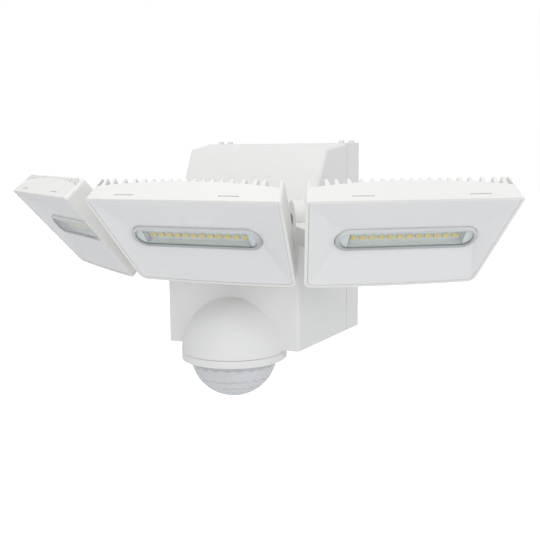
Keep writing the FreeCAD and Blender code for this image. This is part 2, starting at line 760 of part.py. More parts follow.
def rounded_wire(corners, radii, bow=0.0):
    """A closed outline with round corners; its first side can bow downwards."""
    starts = []
    ends = []
    middles = []
    count = len(corners)
    for i in range(count):
        corner = corners[i]
        back = (corners[i - 1] - corner).normalize()
        ahead = (corners[(i + 1) % count] - corner).normalize()
        half_angle = back.getAngle(ahead) / 2
        reach = radii[i] / math.tan(half_angle)
        bisector = (back + ahead).normalize()
        centre = corner + bisector * (radii[i] / math.sin(half_angle))
        starts.append(corner + back * reach)
        ends.append(corner + ahead * reach)
        middles.append(centre - bisector * radii[i])
    edges = []
    for i in range(count):
        edges.append(Part.Arc(starts[i], middles[i], ends[i]).toShape())
        far_end = starts[(i + 1) % count]
        if i == 0 and bow > 0:
            lowest = (ends[i] + far_end) * 0.5 - Z_AXIS * bow
            edges.append(Part.Arc(ends[i], lowest, far_end).toShape())
        else:
            edges.append(Part.LineSegment(ends[i], far_end).toShape())
    return Part.Wire(edges)


def head_taper(depth):
    return HEAD_BACK_TAPER * depth / HEAD_DEPTH


def head_loft(inset, depth_front, depth_back):
    wires = []
    for depth in (depth_front, depth_back):
        wires.append(trapezoid_wire(HEAD_FRONT + depth, inset, head_taper(depth)))
    return Part.makeLoft(wires, True, True)


def back_curve_radius():
    rise = BACK_DEPTH_MIDDLE - BACK_DEPTH_SIDE
    chord = HEAD_TOP_WIDTH / 2 - HEAD_BACK_TAPER
    return (chord * chord + rise * rise) / (2 * rise)


def in_front_of_back_curve(shell):
    """A tall cylinder whose rear follows the head's curved back, less a shell thickness."""
    radius = back_curve_radius()
    centre_y = HEAD_FRONT + BACK_DEPTH_MIDDLE - radius
    return rod(radius - shell, V(0, centre_y, -FAR / 2), Z_AXIS, FAR)


def face_middle(side):
    """Fins, clips and window sit a little towards the head's outer side; the middle head's is the left."""
    return FACE_OFFSET * (side if side != 0 else -1)


def make_fins(side):
    curve_front = HEAD_FRONT + BACK_DEPTH_SIDE - BACK_SHELL / 2
    low = HEAD_BOTTOM - HEAD_BOTTOM_BOW
    middle = face_middle(side)
    fins = []
    for offset in FIN_OFFSETS:
        for x in (middle - offset, middle + offset):
            plan = [
                V(x - FIN_BASE / 2, curve_front, low), V(x + FIN_BASE / 2, curve_front, low),
                V(x + FIN_TIP / 2, HEAD_BACK, low), V(x - FIN_TIP / 2, HEAD_BACK, low),
            ]
            fins.append(prism(plan, V(0, 0, HEAD_TOP - low)))
    return fins


def clip_places(side):
    middle = face_middle(side)
    return [
        (middle + x, z) for x in (-CLIP_OFFSET, CLIP_OFFSET) for z in (HEAD_BOTTOM, HEAD_TOP)
    ]


def clevis_base(middle, side):
    """Plan of the plate that joins both ears to the back of the head, cut away at the head's side."""
    low = middle - CLEVIS_HALF
    high = middle + CLEVIS_HALF
    root = HEAD_FRONT + BACK_DEPTH_SIDE
    rear = -KNUCKLE_R - CLEVIS_BASE_GAP
    if side == 0:
        return [V(low, root, 0), V(high, root, 0), V(high, rear, 0), V(low, rear, 0)]
    inner = middle + side * CLEVIS_HALF
    outer = middle - side * CLEVIS_HALF
    corner = outer + side * CLEVIS_CUT_BACK
    return [
        V(outer, rear, 0), V(inner, rear, 0), V(inner, root, 0),
        V(corner, root, 0), V(corner, HEAD_BACK + 0.5, 0),
    ]


def make_clevis(side):
    """Two round ears behind the fins, on a plate that runs into the head's back."""
    middle = -side * CLEVIS_OFFSET
    low = V(0, 0, -EAR_WEB_HALF_HEIGHT)
    base = [point + low for point in clevis_base(middle, side)]
    pieces = [prism(base, V(0, 0, 2 * EAR_WEB_HALF_HEIGHT))]
    for near in (-CLEVIS_HALF, CLEVIS_HALF - EAR_THICKNESS):
        x = middle + near
        pieces.append(rod(KNUCKLE_R, V(x, 0, 0), X_AXIS, EAR_THICKNESS))
        pieces.append(box(
            x, x + EAR_THICKNESS,
            -KNUCKLE_R - CLEVIS_BASE_GAP, 0,
            -EAR_WEB_HALF_HEIGHT, EAR_WEB_HALF_HEIGHT,
        ))
    return union(pieces)


def bolt_start(side, direction):
    """The outer face of the ear that the bolt's head, or the nut, sits in."""
    return V(-side * CLEVIS_OFFSET + direction * CLEVIS_HALF, 0, 0)


def bolt_side(side):
    return side if side != 0 else 1


def hexagon(across_flats, start, axis, length):
    radius = across_flats / 2 / math.cos(math.pi / 6)
    points = []
    for i in range(6):
        angle = math.pi / 3 * i
        points.append(V(start.x, radius * math.cos(angle), radius * math.sin(angle)))
    return prism(points, axis * length)


def make_head_housing(side):
    body = head_loft(0, 0, HEAD_DEPTH)
    shell_zone = in_front_of_back_curve(0)
    body_front = body.common(shell_zone)
    walls = body.cut(head_loft_sides())
    fins = Part.makeCompound(make_fins(side)).common(body)
    clevis = make_clevis(side)
    clear = head_loft(HEAD_WALL, 0, HEAD_DEPTH).common(in_front_of_back_curve(BACK_SHELL))
    middle = face_middle(side)
    pad_low = LED_MIDDLE - LED_BOARD_HEIGHT / 2
    pad = box(
        middle - LED_BOARD_LENGTH / 2, middle + LED_BOARD_LENGTH / 2, LED_BOARD_BACK, HEAD_BACK,
        pad_low, pad_low + LED_BOARD_HEIGHT,
    )
    housing = union([body_front, walls, clevis] + fins.Solids)
    housing = housing.cut(clear.cut(pad))
    for x, z in clip_places(side):
        y = HEAD_FRONT + CLIP_SLOT_DEPTH + CLIP_SLOT_WIDTH / 2
        housing = housing.cut(block((CLIP_SLOT_LENGTH, CLIP_SLOT_WIDTH, HEAD_WALL * 3), V(x, y, z)))
    head_way = bolt_side(side)
    inner = -side * CLEVIS_OFFSET
    housing = housing.cut(rod(BOLT_R + SWIVEL_FIT, V(inner - FAR / 4, 0, 0), X_AXIS, FAR / 2))
    recess = rod(
        BOLT_HEAD_R + SCREW_CLEARANCE, bolt_start(side, -head_way), X_AXIS * head_way, BOLT_RECESS,
    )
    pocket = hexagon(
        NUT_ACROSS_FLATS + 2 * SCREW_CLEARANCE, bolt_start(side, head_way), X_AXIS * -head_way, NUT_T,
    )
    return housing.cut(recess).cut(pocket)


def head_loft_sides():
    """Everything of the head's block except its two outermost side walls."""
    wires = []
    slant = (HEAD_TOP_WIDTH - HEAD_BOTTOM_WIDTH) / 2 / HEAD_HEIGHT
    past_bottom = HEAD_BOTTOM_BOW + 1
    below = HEAD_BOTTOM - past_bottom
    for depth in (0, HEAD_DEPTH):
        taper = head_taper(depth)
        half_top = HEAD_TOP_WIDTH / 2 - taper - HEAD_WALL + slant
        half_bottom = HEAD_BOTTOM_WIDTH / 2 - taper - HEAD_WALL - slant * past_bottom
        y = HEAD_FRONT + depth
        points = [
            V(-half_bottom, y, below), V(half_bottom, y, below),
            V(half_top, y, HEAD_TOP + 1), V(-half_top, y, HEAD_TOP + 1),
        ]
        wires.append(Part.makePolygon(points + [points[0]]))
    return Part.makeLoft(wires, True, True)


def stadium(length, height, y0, y1):
    half = (length - height) / 2
    radius = height / 2
    z = HEAD_MIDDLE
    body = box(-half, half, y0, y1, z - radius, z + radius)
    for x in (-half, half):
        body = body.fuse(rod(radius, V(x, y0, z), Y_AXIS, y1 - y0))
    return body.removeSplitter()


def rectangle_wire(length, height, y):
    half = length / 2
    low = HEAD_MIDDLE - height / 2
    high = HEAD_MIDDLE + height / 2
    corners = [V(-half, y, low), V(half, y, low), V(half, y, high), V(-half, y, high)]
    return rounded_wire(corners, [1.0] * 4)


def make_reflector(side):
    gap = HEAD_WALL + REFLECTOR_FIT
    skirt = head_loft(gap, REFLECTOR_SET_BACK, REFLECTOR_SKIRT)
    skirt = skirt.cut(head_loft(gap + REFLECTOR_RIM, REFLECTOR_SET_BACK, REFLECTOR_SKIRT))
    rim_front = trapezoid_wire(REFLECTOR_FRONT, gap + 0.1, head_taper(REFLECTOR_SET_BACK))
    rim_inner = trapezoid_wire(REFLECTOR_FRONT, gap + REFLECTOR_RIM, head_taper(REFLECTOR_SET_BACK))
    sheet = 2 * REFLECTOR_SHEET
    aside = V(face_middle(side), 0, 0)
    bowl_back = rectangle_wire(WINDOW_LENGTH + sheet, WINDOW_HEIGHT + sheet, WINDOW_BACK)
    bowl_front = rectangle_wire(WINDOW_LENGTH, WINDOW_HEIGHT, WINDOW_FRONT)
    bowl_back.translate(aside)
    bowl_front.translate(aside)
    bowl = Part.makeLoft([rim_front, bowl_back], True, True)
    hollow = Part.makeLoft([rim_inner, bowl_front], True, True)
    pieces = [skirt, bowl]
    for x, z in clip_places(side):
        y = HEAD_FRONT + CLIP_SLOT_DEPTH + CLIP_SLOT_WIDTH / 2
        inward = HEAD_WALL + REFLECTOR_FIT + REFLECTOR_RIM / 2
        toward = 1 if z < HEAD_MIDDLE else -1
        size = (CLIP_SLOT_LENGTH - 2 * CLIP_FIT, CLIP_SLOT_WIDTH - 2 * CLIP_FIT, inward - 0.5)
        pieces.append(block(size, V(x, y, z + toward * (inward + 0.5) / 2)))
    window = stadium(WINDOW_LENGTH, WINDOW_HEIGHT, WINDOW_FRONT - 1, WINDOW_BACK + 1)
    return union(pieces).cut(hollow).cut(window.translated(aside))


def make_lens():
    """The clear window, a plug with a round front edge on a flange."""
    plug = stadium(
        WINDOW_LENGTH - 2 * LENS_FIT, WINDOW_HEIGHT - 2 * LENS_FIT, WINDOW_FRONT - LENS_PROUD,
        LENS_FLANGE_BACK,
    )
    front = plug.BoundBox.YMin + 0.01
    plug = plug.makeFillet(LENS_EDGE_R, [edge for edge in plug.Edges if edge.BoundBox.YMax < front])
    flange = stadium(
        WINDOW_LENGTH + 2 * LENS_FLANGE, WINDOW_HEIGHT + 2 * LENS_FLANGE, LENS_FLANGE_FRONT,
        LENS_FLANGE_BACK,
    )
    return union([plug, flange])


def make_lens_seal():
    outer = stadium(
        WINDOW_LENGTH + 2 * LENS_FLANGE, WINDOW_HEIGHT + 2 * LENS_FLANGE, WINDOW_BACK, LENS_FLANGE_FRONT,
    )
    return outer.cut(stadium(WINDOW_LENGTH, WINDOW_HEIGHT, WINDOW_BACK - 1, LENS_FLANGE_FRONT + 1))


def make_led_board():
    half = LED_BOARD_LENGTH / 2
    low = LED_MIDDLE - LED_BOARD_HEIGHT / 2
    return box(-half, half, LED_BOARD_FRONT, LED_BOARD_BACK, low, low + LED_BOARD_HEIGHT)


def make_leds():
    leds = []
    first = -LED_PITCH * (LED_COUNT - 1) / 2
    for i in range(LED_COUNT):
        middle = V(first + LED_PITCH * i, LED_FRONT + LED_T / 2, LED_MIDDLE)
        leds.append(block((LED_WIDTH, LED_T, LED_HEIGHT), middle))
    return Part.makeCompound(leds)


def make_tilt_bolt(side):
    way = bolt_side(side)
    start = bolt_start(side, -way)
    axis = X_AXIS * way
    head_face = start + axis * (BOLT_RECESS - BOLT_HEAD_T)
    head = rod(BOLT_HEAD_R, head_face, axis, BOLT_HEAD_T)
    shank = rod(BOLT_R, head_face + axis, axis, 2 * CLEVIS_HALF - BOLT_RECESS + BOLT_HEAD_T - 1.5)
    socket = hexagon(2 * BOLT_SOCKET_R, head_face - axis, axis, BOLT_SOCKET_DEPTH + 1)
    return union([head, shank]).cut(socket)


def make_tilt_nut(side):
    way = bolt_side(side)
    start = bolt_start(side, way) + X_AXIS * (-way * 0.3)
    nut = hexagon(NUT_ACROSS_FLATS, start, X_AXIS * -way, NUT_T - 0.3)
    return nut.cut(rod(BOLT_R + SWIVEL_FIT, start + X_AXIS * (way * NUT_T), X_AXIS * -way, NUT_T * 3))


# ---------------------------------------------------------------- motion sensor
def hood_dome(shrink):
    dome = Part.makeSphere(1.0)
    matrix = FreeCAD.Matrix()
    matrix.scale(V(HOOD_R - shrink, HOOD_R - shrink, HOOD_HEIGHT - shrink))
    dome = dome.transformGeometry(matrix)
    dome.translate(V(0, SENSOR_Y, HOOD_BASE_Z))
    return dome


def make_sensor_hood():
    shell = hood_dome(0).cut(hood_dome(HOOD_WALL))
    shell = shell.common(box(-FAR, FAR, -FAR, FRONT_Y, HOOD_BASE_Z, FAR))
    base = rod(HOOD_R, V(0, SENSOR_Y, HOOD_BASE_Z), Z_AXIS, HOOD_BASE)
    pieces = [shell, base]
    inside = hood_dome(HOOD_WALL / 2)
    for x in hood_screw_places():
        boss = rod(
            HOOD_BOSS_R, V(x, FRONT_Y - HOOD_BOSS_DEPTH, BOTTOM_Z + HOOD_SCREW_HEIGHT), Y_AXIS,
            HOOD_BOSS_DEPTH,
        )
        web = box(
            x - HOOD_SCREW_R, x + HOOD_SCREW_R, FRONT_Y - HOOD_BOSS_DEPTH, FRONT_Y, BOTTOM_Z - 1,
            BOTTOM_Z + HOOD_SCREW_HEIGHT,
        )
        pieces.append(boss.fuse(web).common(inside))
    hood = union(pieces)
    hood = hood.cut(rod(HUB_R + SWIVEL_FIT, V(0, SENSOR_Y, HOOD_BASE_Z - 1), Z_AXIS, HOOD_BASE + 2))
    for x in hood_screw_places():
        hood = hood.cut(
            rod(
                HOOD_SCREW_R, V(x, FRONT_Y - HOOD_BOSS_DEPTH + 1, BOTTOM_Z + HOOD_SCREW_HEIGHT), Y_AXIS,
                HOOD_BOSS_DEPTH,
            )
        )
    return hood


def make_hood_screws():
    screws = []
    inner_face = FRONT_Y + COVER_WALL
    for x in hood_screw_places():
        z = BOTTOM_Z + HOOD_SCREW_HEIGHT
        head = rod(BOARD_SCREW_HEAD_R, V(x, inner_face, z), Y_AXIS, BOARD_SCREW_HEAD_T)
        shank = rod(
            HOOD_SCREW_R, V(x, FRONT_Y - HOOD_BOSS_DEPTH + 2, z), Y_AXIS,
            HOOD_BOSS_DEPTH - 2 + COVER_WALL + 1,
        )
        screws.append(union([head, shank]))
    return Part.makeCompound(screws)


def make_sensor_ring():
    middle = V(0, SENSOR_Y, 0)
    cup = rod(HOOD_R, middle + Z_AXIS * RING_BOTTOM_Z, Z_AXIS, RING_HEIGHT)
    cup = cup.cut(
        rod(
            HOOD_R - RING_WALL, middle + Z_AXIS * (RING_BOTTOM_Z + RING_LIP), Z_AXIS,
            RING_HEIGHT - RING_LIP - RING_PLATE,
        )
    )
    opening = LENS_R + LENS_RIM_PLAY
    cup = cup.cut(rod(opening, middle + Z_AXIS * (RING_BOTTOM_Z - 1), Z_AXIS, RING_LIP + 2))
    hub_low = RING_TOP_Z - RING_PLATE
    hub = rod(HUB_R, middle + Z_AXIS * hub_low, Z_AXIS, FLOOR_TOP_Z + HUB_RISE - hub_low)
    lug = box(0, HOOD_R + LUG_REACH, -LUG_WIDTH / 2, LUG_WIDTH / 2, RING_BOTTOM_Z, RING_TOP_Z)
    lug = lug.cut(rod(HOOD_R - RING_WALL / 2, V(0, 0, RING_BOTTOM_Z - 1), Z_AXIS, RING_HEIGHT + 2))
    lug.rotate(V(0, 0, 0), Z_AXIS, LUG_ANGLE_DEG)
    lug.translate(middle)
    turning = union([cup, hub, lug])
    return turning.cut(rod(HUB_BORE_R, middle + Z_AXIS * (hub_low - 1), Z_AXIS, FAR))


def make_sensor_nut():
    return ring(HUB_NUT_R, HUB_R + SWIVEL_FIT, V(0, SENSOR_Y, FLOOR_TOP_Z + PAN_GAP), Z_AXIS, HUB_NUT_T)


def make_sensor_lens():
    middle = V(0, SENSOR_Y, LENS_CENTRE_Z)
    rim_low = RING_BOTTOM_Z + RING_LIP
    shell = Part.makeSphere(LENS_R, middle).cut(Part.makeSphere(LENS_R - LENS_T, middle))
    shell = shell.common(box(-FAR, FAR, -FAR, FAR, -FAR, rim_low + LENS_RIM_T))
    rim_r = HOOD_R - RING_WALL - LENS_RIM_PLAY
    rim = ring(rim_r, LENS_R - LENS_T - 0.5, V(0, SENSOR_Y, rim_low), Z_AXIS, LENS_RIM_T)
    return union([shell, rim])


def sensor_board_top():
    return RING_TOP_Z - RING_PLATE


def make_sensor_board():
    low = sensor_board_top() - SENSOR_BOARD_T
    return ring(SENSOR_BOARD_R, HUB_BORE_R / 2, V(0, SENSOR_Y, low), Z_AXIS, SENSOR_BOARD_T)


def make_pyro_sensor():
    low = sensor_board_top() - SENSOR_BOARD_T - PYRO_HEIGHT
    return rod(PYRO_R, V(0, SENSOR_Y, low), Z_AXIS, PYRO_HEIGHT)


def make_photocell():
    low = sensor_board_top() - SENSOR_BOARD_T - PHOTOCELL_HEIGHT
    return rod(PHOTOCELL_R, V(0, SENSOR_Y - PHOTOCELL_OFFSET, low), Z_AXIS, PHOTOCELL_HEIGHT)


# ---------------------------------------------------------------- build
def build_housing():
    save("wall_plate", make_wall_plate())
    save("plate_gasket", make_plate_gasket())
    save("cable_grommet", make_cable_grommet())
    save("front_cover", make_front_cover())
    save("cover_seal", make_cover_seal())
    save("cover_screws", make_cover_screws())
    save("pan_washers", make_pan_washers())


def build_electrics():
    save("terminal_block", make_terminal_block())
    save("terminal_screws", make_terminal_screws())
    save("driver_board", make_driver_board())
    save("board_screws", make_board_screws())
    save("transformer", make_transformer())
    save("capacitors", make_capacitors())
    save("relay", make_relay())
    save("control_board", make_control_board())
    save("potentiometers", make_potentiometers())
    for name, x in zip(("time_dial", "dusk_dial", "range_dial"), dial_places()):
        save(name, make_dial(x))


def build_sensor():
    save("sensor_hood", make_sensor_hood())
    save("hood_screws", make_hood_screws())
    save("sensor_ring", make_sensor_ring())
    save("sensor_nut", make_sensor_nut())
    save("sensor_lens", make_sensor_lens())
    save("sensor_board", make_sensor_board())
    save("pyro_sensor", make_pyro_sensor())
    save("photocell", make_photocell())


def build_head(name):
    side = ARMS[name][0]
    save(name + "_arm", make_arm(name))
    save(name + "_pan_nut", make_pan_nut(name))
    save(name + "_head_housing", place_head(make_head_housing(side), name))
    save(name + "_reflector", place_head(make_reflector(side), name))
    aside = V(face_middle(side), 0, 0)
    save(name + "_lens", place_head(make_lens().translated(aside), name))
    save(name + "_lens_seal", place_head(make_lens_seal().translated(aside), name))
    save(name + "_led_board", place_head(make_led_board().translated(aside), name))
    save(name + "_leds", place_head(make_leds().translated(aside), name))
    save(name + "_tilt_bolt", place_head(make_tilt_bolt(side), name))
    save(name + "_tilt_nut", place_head(make_tilt_nut(side), name))


os.makedirs("parts", exist_ok=True)
build_housing()
build_electrics()
build_sensor()
for arm_name in ARMS:
    build_head(arm_name)
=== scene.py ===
import json
import math

import bmesh
import bpy
from mathutils import Matrix, Vector


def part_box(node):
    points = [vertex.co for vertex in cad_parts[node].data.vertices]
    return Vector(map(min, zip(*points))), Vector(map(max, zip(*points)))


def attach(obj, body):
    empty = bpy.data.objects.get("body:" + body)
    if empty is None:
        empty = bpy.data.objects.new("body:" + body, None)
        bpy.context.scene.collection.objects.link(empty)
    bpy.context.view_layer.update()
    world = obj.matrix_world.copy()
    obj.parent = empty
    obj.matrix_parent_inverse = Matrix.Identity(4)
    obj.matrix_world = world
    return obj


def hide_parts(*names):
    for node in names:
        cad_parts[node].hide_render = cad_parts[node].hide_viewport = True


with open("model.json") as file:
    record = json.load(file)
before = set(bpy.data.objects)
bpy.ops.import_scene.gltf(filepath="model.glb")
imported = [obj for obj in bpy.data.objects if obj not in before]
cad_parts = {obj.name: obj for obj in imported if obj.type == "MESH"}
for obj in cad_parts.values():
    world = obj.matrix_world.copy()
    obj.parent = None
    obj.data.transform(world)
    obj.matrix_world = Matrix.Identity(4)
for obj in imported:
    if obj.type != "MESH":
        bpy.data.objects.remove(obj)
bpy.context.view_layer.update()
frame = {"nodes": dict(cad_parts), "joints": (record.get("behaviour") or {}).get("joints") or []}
nodes = frame["nodes"]


# ---- Viewpoint
# The camera stands to the right of the light and a little above its middle, with a lens long
# enough to keep the heads' shapes true.
azimuth = math.radians(23.292)
elevation = math.radians(7.875)
roll = math.radians(-0.521)
camera_place = (0.27056, -0.66448, 0.06833)
sensor_mm = 36.0
focal_pixels = 869.44
picture_pixels = 540

back = Vector((
    math.sin(azimuth) * math.cos(elevation),
    -math.cos(azimuth) * math.cos(elevation),
    math.sin(elevation),
))
level = Vector((math.cos(azimuth), math.sin(azimuth), 0))
upright = back.cross(level)
right = level * math.cos(roll) + upright * math.sin(roll)
up = upright * math.cos(roll) - level * math.sin(roll)
view = bpy.data.cameras.new("view")
view.sensor_width = sensor_mm
view.lens = sensor_mm * focal_pixels / picture_pixels
view.clip_start = 0.05
view.clip_end = 50
camera = bpy.data.objects.new("camera", view)
aim = Matrix((right, up, back)).transposed().to_4x4()
camera.matrix_world = Matrix.Translation(camera_place) @ aim
bpy.context.collection.objects.link(camera)
bpy.context.scene.camera = camera
bpy.context.scene.view_settings.view_transform = "Standard"


# ---- Housing
# The box is moulded in white plastic in two parts: a wall plate and a deep front cover.
# Its outside has the fine satin grain of an etched mould, and every edge has a small radius.
mould_radius = 0.0005
weld_gap = 0.00002
edge_steps = 2
flat_face_weight = 100


class Link:
    """One output of a shader node, which can be added to or multiplied."""

    def __init__(self, finish, socket):
        self.finish = finish
        self.socket = socket

    def __add__(self, other):
        return self.finish.maths("ADD", self, other)

    def __mul__(self, other):
        return self.finish.maths("MULTIPLY", self, other)

    __radd__ = __add__
    __rmul__ = __mul__


class Finish:
    """A material under construction, with the sockets that are the same all over set first."""

    def __init__(self, name, **settings):
        self.material = bpy.data.materials.new(name)
        self.material.use_nodes = True
        self.tree = self.material.node_tree
        self.shader = self.tree.nodes["Principled BSDF"]
        for socket, value in settings.items():
            self.feed(self.shader.inputs[socket.replace("_", " ")], value)

    def feed(self, socket, value):
        if isinstance(value, Link):
            self.tree.links.new(value.socket, socket)
        else:
            socket.default_value = value

    def node(self, kind, settings, inputs, output=0):
        made = self.tree.nodes.new(kind)
        for name, value in settings.items():
            setattr(made, name, value)
        for name, value in inputs.items():
            self.feed(made.inputs[name], value)
        return Link(self, made.outputs[output])

    def maths(self, operation, first, second):
        return self.node("ShaderNodeMath", {"operation": operation}, {0: first, 1: second})

    def place(self):
        return self.node("ShaderNodeTexCoord", {}, {}, "Object")

    def noise(self, scale, detail=2.0, roughness=0.5):
        return self.node(
            "ShaderNodeTexNoise", {},
            {"Vector": self.place(), "Scale": scale, "Detail": detail, "Roughness": roughness},
        )

    def color(self, factor, low, high):
        first, second, result = 6, 7, 2
        mixed = self.node(
            "ShaderNodeMix", {"data_type": "RGBA"},
            {"Factor": factor, first: (*low, 1), second: (*high, 1)}, result,
        )
        self.feed(self.shader.inputs["Base Color"], mixed)

    def roughness(self, value):
        self.feed(self.shader.inputs["Roughness"], value)

    def bump(self, height, distance, strength=1.0):
        raised = self.node(
            "ShaderNodeBump", {},
            {"Strength": strength, "Distance": distance, "Height": height},
        )
        self.feed(self.shader.inputs["Normal"], raised)

    def surface(self):
        return Link(self, self.shader.outputs[0])

    def show(self, surface):
        self.feed(self.tree.nodes["Material Output"].inputs["Surface"], surface)


def wear(node_names, finish):
    """Gives parts one finish in place of whatever they had."""
    for name in node_names:
        mesh = nodes[name].data
        mesh.materials.clear()
        mesh.materials.append(finish.material)


def soften(node_names, radius, angle=32.0):
    """Rounds a part's edges by a mould's small radius and keeps its flat faces flat."""
    for name in node_names:
        part = nodes[name]
        part.data.shade_smooth()
        weld = part.modifiers.new("weld", "WELD")
        weld.merge_threshold = weld_gap
        edge = part.modifiers.new("edge_radius", "BEVEL")
        edge.width = radius
        edge.segments = edge_steps
        edge.limit_method = "ANGLE"
        edge.angle_limit = math.radians(angle)
        edge.use_clamp_overlap = True
        flat_faces = part.modifiers.new("flat_faces", "WEIGHTED_NORMAL")
        flat_faces.weight = flat_face_weight
        flat_faces.keep_sharp = True


shell_white = Finish("shell_white", IOR=1.48)
mould_grain = shell_white.noise(2600.0, 3.0, 0.6)
flow = shell_white.noise(9.0, 2.0)
shell_white.color(flow, (0.80, 0.80, 0.79), (0.84, 0.84, 0.83))
shell_white.roughness(0.40 + flow * 0.08 + mould_grain * 0.06)
shell_white.bump(mould_grain, 0.00004, 0.35)
wear(["front_cover", "wall_plate"], shell_white)
soften(["front_cover", "wall_plate"], mould_radius)


# ---- Cover screws and gaskets
# Two plated screws pull the cover up to the plate from below, and soft rubber seals the seam,
# the back face and the cable entry.
def grained(name, scale, detail, dark, light, roughness, spread, fineness=0.5, bump=None, **settings):
    """A finish whose colour, roughness and bump all follow one grain."""
    finish = Finish(name, **settings)
    grain = finish.noise(scale, detail, fineness)
    finish.color(grain, dark, light)
    finish.roughness(roughness + grain * spread)
    if bump:
        finish.bump(grain, *bump)
    return finish


zinc = grained(
    "zinc_plate", scale=1500.0, detail=4.0, dark=(0.46, 0.46, 0.45), light=(0.66, 0.66, 0.64),
    roughness=0.28, spread=0.22, fineness=0.65, bump=(0.00002, 0.4), Metallic=1.0,
)
wear(["cover_screws", "board_screws", "hood_screws", "terminal_screws"], zinc)

rubber = grained(
    "seal_rubber", scale=1800.0, detail=3.0, dark=(0.022, 0.022, 0.024), light=(0.045, 0.045, 0.048),
    roughness=0.62, spread=0.2, bump=(0.00006, 0.5), IOR=1.5,
)
wear(
    ["plate_gasket", "cable_grommet", "cover_seal", "left_lens_seal", "centre_lens_seal", "right_lens_seal"],
    rubber,
)


# ---- Boards and what stands on them
# The driver board is screwed to four posts in the wall plate, and the control board stands on
# legs over the dials. Nothing here is seen once the cover is on.
board_green = grained(
    "board_green", scale=900.0, detail=3.0, dark=(0.008, 0.06, 0.018), light=(0.015, 0.10, 0.03),
    roughness=0.30, spread=0.15, IOR=1.5,
)
wear(["driver_board", "control_board", "sensor_board"], board_green)

tape_yellow = grained(
    "tape_yellow", scale=400.0, detail=2.0, dark=(0.50, 0.33, 0.04), light=(0.62, 0.43, 0.07),
    roughness=0.35, spread=0.2, IOR=1.46,
)
wear(["transformer"], tape_yellow)

sleeve_black = grained(
    "sleeve_black", scale=700.0, detail=2.0, dark=(0.012, 0.012, 0.015), light=(0.03, 0.03, 0.034),
    roughness=0.30, spread=0.15, IOR=1.5,
)
wear(["capacitors", "potentiometers"], sleeve_black)

relay_blue = grained(
    "relay_blue", scale=1200.0, detail=2.0, dark=(0.008, 0.035, 0.16), light=(0.014, 0.05, 0.22),
    roughness=0.35, spread=0.1, IOR=1.5,
)
wear(["relay"], relay_blue)

nylon_cream = grained(
    "nylon_cream", scale=1000.0, detail=2.0, dark=(0.62, 0.60, 0.52), light=(0.70, 0.68, 0.60),
    roughness=0.42, spread=0.12, IOR=1.53,
)
wear(["terminal_block", "pan_washers"], nylon_cream)


# ---- Setting dials
# Three small moulded dials turn under the housing, for the time, the dusk level and the range.
# Each has a screwdriver slot that points to its setting.
dials = ["time_dial", "dusk_dial", "range_dial"]
dial_radius = 0.0003
dial_white = grained(
    "dial_white", scale=2200.0, detail=2.0, dark=(0.70, 0.70, 0.68), light=(0.77, 0.77, 0.75),
    roughness=0.40, spread=0.1, bump=(0.00003, 0.4), IOR=1.48,
)
wear(dials, dial_white)
soften(dials, dial_radius)


# ---- Arms
# Each arm is one moulding: a turret with its peg, a neck, and the tongue of the knuckle. A nut of
# black nylon holds the peg in the housing's shelf.
arms = ["left_arm", "centre_arm", "right_arm"]
arm_radius = 0.0006
wear(arms, shell_white)
soften(arms, arm_radius)

nylon_black = grained(
    "nylon_black", scale=1400.0, detail=2.0, dark=(0.02, 0.02, 0.022), light=(0.04, 0.04, 0.043),
    roughness=0.45, spread=0.15, IOR=1.53,
)
wear(["left_pan_nut", "centre_pan_nut", "right_pan_nut", "sensor_nut"], nylon_black)


# ---- Lamp heads
# The body is die-cast with its cooling fins and the knuckle's two ears, then powder coated white.
# A plated bolt and nut clamp the ears to the arm's tongue.
heads = ("left", "centre", "right")
cast_radius = 0.00045
powder_white = Finish("powder_white", IOR=1.5)
powder = powder_white.noise(1700.0, 3.0, 0.55)
powder_tint = powder_white.noise(14.0, 2.0)
powder_white.color(powder_tint, (0.84, 0.84, 0.82), (0.88, 0.88, 0.86))
powder_white.roughness(0.42 + powder_tint * 0.06 + powder * 0.05)
powder_white.bump(powder, 0.00005, 0.35)
for name in heads:
    wear([name + "_head_housing"], powder_white)
    soften([name + "_head_housing"], cast_radius)
    wear([name + "_tilt_bolt", name + "_tilt_nut"], zinc)


# ---- Reflectors
# The four facets round the window are one glossy white moulding. Its clips snap into slots through
# the head's top and bottom.
facet_angle = 14.0
reflector_gloss = Finish("reflector_gloss", IOR=1.5, Coat_Weight=0.8, Coat_Roughness=0.1)
draw = reflector_gloss.noise(20.0, 2.0)
reflector_gloss.color(draw, (0.82, 0.825, 0.83), (0.85, 0.855, 0.86))
reflector_gloss.roughness(0.20 + draw * 0.10)
ripple = reflector_gloss.noise(60.0, 1.0)
reflector_gloss.bump(ripple, 0.00003, 0.1)
for name in heads:
    wear([name + "_reflector"], reflector_gloss)
    soften([name + "_reflector"], mould_radius, facet_angle)


# ---- Lamp windows
# Each head is closed by a clear moulded window, a hollow cap pushed in from behind. Its rounded
# rim stands proud of the reflector and is thicker along the bottom and ends than along the top.
head_tilt = math.radians(41.0)
window_play = 0.0002
window_flange = 0.002
rim_width = 0.0029
rim_top_width = 0.0019
rim_edge = 0.0015
rim_edge_steps = 6
rim_wall = 0.0016
pane_step = 0.0004
pane_step_corner = ((0.0003, 0), (0.0001, 0.0001))
pane_thickness = 0.0009
pane_seat = 0.0004
flange_thickness = 0.0008
pane_least_gloss = 0.04
pane_gloss_power = 5.0
# The rim's colour is painted shade low down and painted light higher up: these set where the grey ends below
# the middle and how fast it lightens upwards.
rim_painted_shade_below = 0.004
rim_painted_light_climb = 90.0


def head_axes(name):
    """The head's own directions: across its face, into its back and up its face."""
    hinge = next(joint for joint in frame["joints"] if joint["name"] == name + "_tilt")
    pan = math.atan2(hinge["axis"][1], hinge["axis"][0])
    return Matrix.Rotation(pan, 4, "Z") @ Matrix.Rotation(head_tilt, 4, "X")


